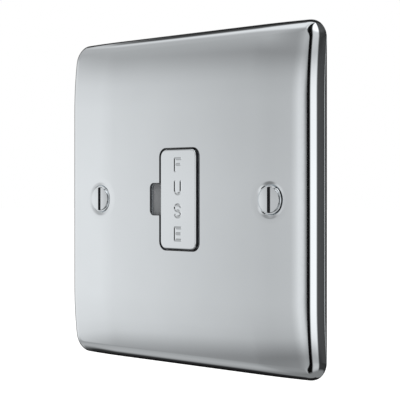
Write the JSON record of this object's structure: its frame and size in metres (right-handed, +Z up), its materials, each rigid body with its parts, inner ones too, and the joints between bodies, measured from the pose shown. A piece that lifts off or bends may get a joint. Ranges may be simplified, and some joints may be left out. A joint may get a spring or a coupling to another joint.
{
  "type": "fused spur unit",
  "caption": "Square polished metal wall plate with slotted fixing screws and a central pull-out fuse carrier, backed by a terminal housing for a wall box.",
  "frame": {"origin": "middle of the plate on the wall plane, midway between the two fixing screws", "axes": "+Z up, +Y into the wall along the fixing screws, +X to the right as seen from the room"},
  "size_m": [0.088, 0.0249, 0.088],
  "materials": {
    "polished_chrome": "polished",
    "grey_plastic": "satin",
    "white_plastic": "satin",
    "zinc_steel": "satin",
    "brass": "satin",
    "spring_brass": "satin",
    "fuse_ceramic": "satin",
    "nickel": "gloss"
  },
  "bodies": {
    "unit": {"front_plate": "polished_chrome", "fixing_screws": "polished_chrome", "insert_frame": "grey_plastic", "rear_housing": "white_plastic", "housing_screws": "zinc_steel", "live_supply_terminal": "brass", "live_load_terminal": "brass", "neutral_supply_terminal": "brass", "neutral_load_terminal": "brass", "earth_supply_terminal": "brass", "earth_load_terminal": "brass", "terminal_screws": "brass", "supply_fuse_clip": "spring_brass", "load_fuse_clip": "spring_brass", "neutral_bar": "brass", "earth_strap": "brass"},
    "carrier": {"fuse_carrier": "grey_plastic", "carrier_cap": "polished_chrome", "fuse_barrel": "fuse_ceramic", "fuse_end_caps": "nickel"}
  },
  "joints": [
    {"name": "carrier_slide", "type": "slide", "parent": "unit", "child": "carrier", "axis": [0, -1, 0], "range_m": [0, 0.015]}
  ]
}
